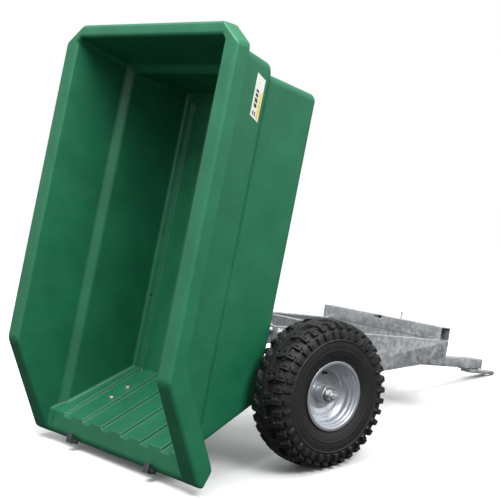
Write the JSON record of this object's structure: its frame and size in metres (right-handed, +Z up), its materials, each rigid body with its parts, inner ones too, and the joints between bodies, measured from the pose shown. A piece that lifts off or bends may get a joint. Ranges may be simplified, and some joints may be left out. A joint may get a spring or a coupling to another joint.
{
  "type": "tipping garden trailer",
  "caption": "Two-wheel tipping trailer for a quad bike or garden tractor: a stepped plastic tub with a grooved ramp, hinged on a galvanised frame with knobbly tyres and a towing eye.",
  "frame": {"origin": "centre of the bounding box in plan, on the ground, with the hitch resting down and the tub tipped up", "axes": "+X forward in the towing direction, +Y to the trailer's left, +Z up"},
  "size_m": [2.0622, 1.142, 1.5068],
  "materials": {
    "green_tub": "satin rotomoulded polyethylene",
    "label_film": "gloss",
    "galvanised_steel": "hot-dip galvanised",
    "zinc_fasteners": "bright zinc plated",
    "silver_rim": "silver paint",
    "tyre_rubber": "matt",
    "valve_rubber": "matt",
    "bearing_steel": "ground"
  },
  "bodies": {
    "frame": {"axle_beam": "galvanised_steel", "crossbeam": "galvanised_steel", "front_cross_member": "galvanised_steel", "mid_cross_member": "galvanised_steel", "drawbar": "galvanised_steel", "hitch_plate": "galvanised_steel", "hitch_spacer": "galvanised_steel", "pivot_bolts": "zinc_fasteners", "pivot_nuts": "zinc_fasteners", "pivot_washers": "zinc_fasteners", "latch_guides": "galvanised_steel", "axle_washers": "zinc_fasteners", "axle_nuts": "zinc_fasteners", "side_member_left": "galvanised_steel", "stub_axle_left": "galvanised_steel", "side_member_right": "galvanised_steel", "stub_axle_right": "galvanised_steel"},
    "tub": {"tub": "green_tub", "label": "label_film", "striker": "galvanised_steel", "striker_bolts": "zinc_fasteners", "pivot_bushes": "zinc_fasteners", "ramp_bolts": "zinc_fasteners", "ramp_washers": "zinc_fasteners", "ramp_nuts": "zinc_fasteners", "support_bar_left": "galvanised_steel", "ramp_strap_left": "galvanised_steel", "pivot_bracket_left": "galvanised_steel", "support_bar_right": "galvanised_steel", "ramp_strap_right": "galvanised_steel", "pivot_bracket_right": "galvanised_steel"},
    "wheel_left": {"tyre_left": "tyre_rubber", "rim_left": "silver_rim", "hub_left": "silver_rim", "bearings_left": "bearing_steel", "valve_left": "valve_rubber"},
    "wheel_right": {"tyre_right": "tyre_rubber", "rim_right": "silver_rim", "hub_right": "silver_rim", "bearings_right": "bearing_steel", "valve_right": "valve_rubber"},
    "latch": {"latch_bolt": "zinc_fasteners"}
  },
  "joints": [
    {"name": "tub_tip", "type": "hinge", "parent": "frame", "child": "tub", "pos_m": [-0.42441, 0, 0.44239], "axis": [0, 1, 0], "range_deg": [0, 86]},
    {"name": "wheel_left_spin", "type": "hinge", "parent": "frame", "child": "wheel_left", "pos_m": [-0.3935, 0.487, 0.254], "axis": [0, 1, 0], "continuous": true},
    {"name": "wheel_right_spin", "type": "hinge", "parent": "frame", "child": "wheel_right", "pos_m": [-0.3935, -0.487, 0.254], "axis": [0, 1, 0], "continuous": true},
    {"name": "latch_slide", "type": "slide", "parent": "frame", "child": "latch", "axis": [0, 1, 0], "range_m": [0, 0.045]}
  ]
}
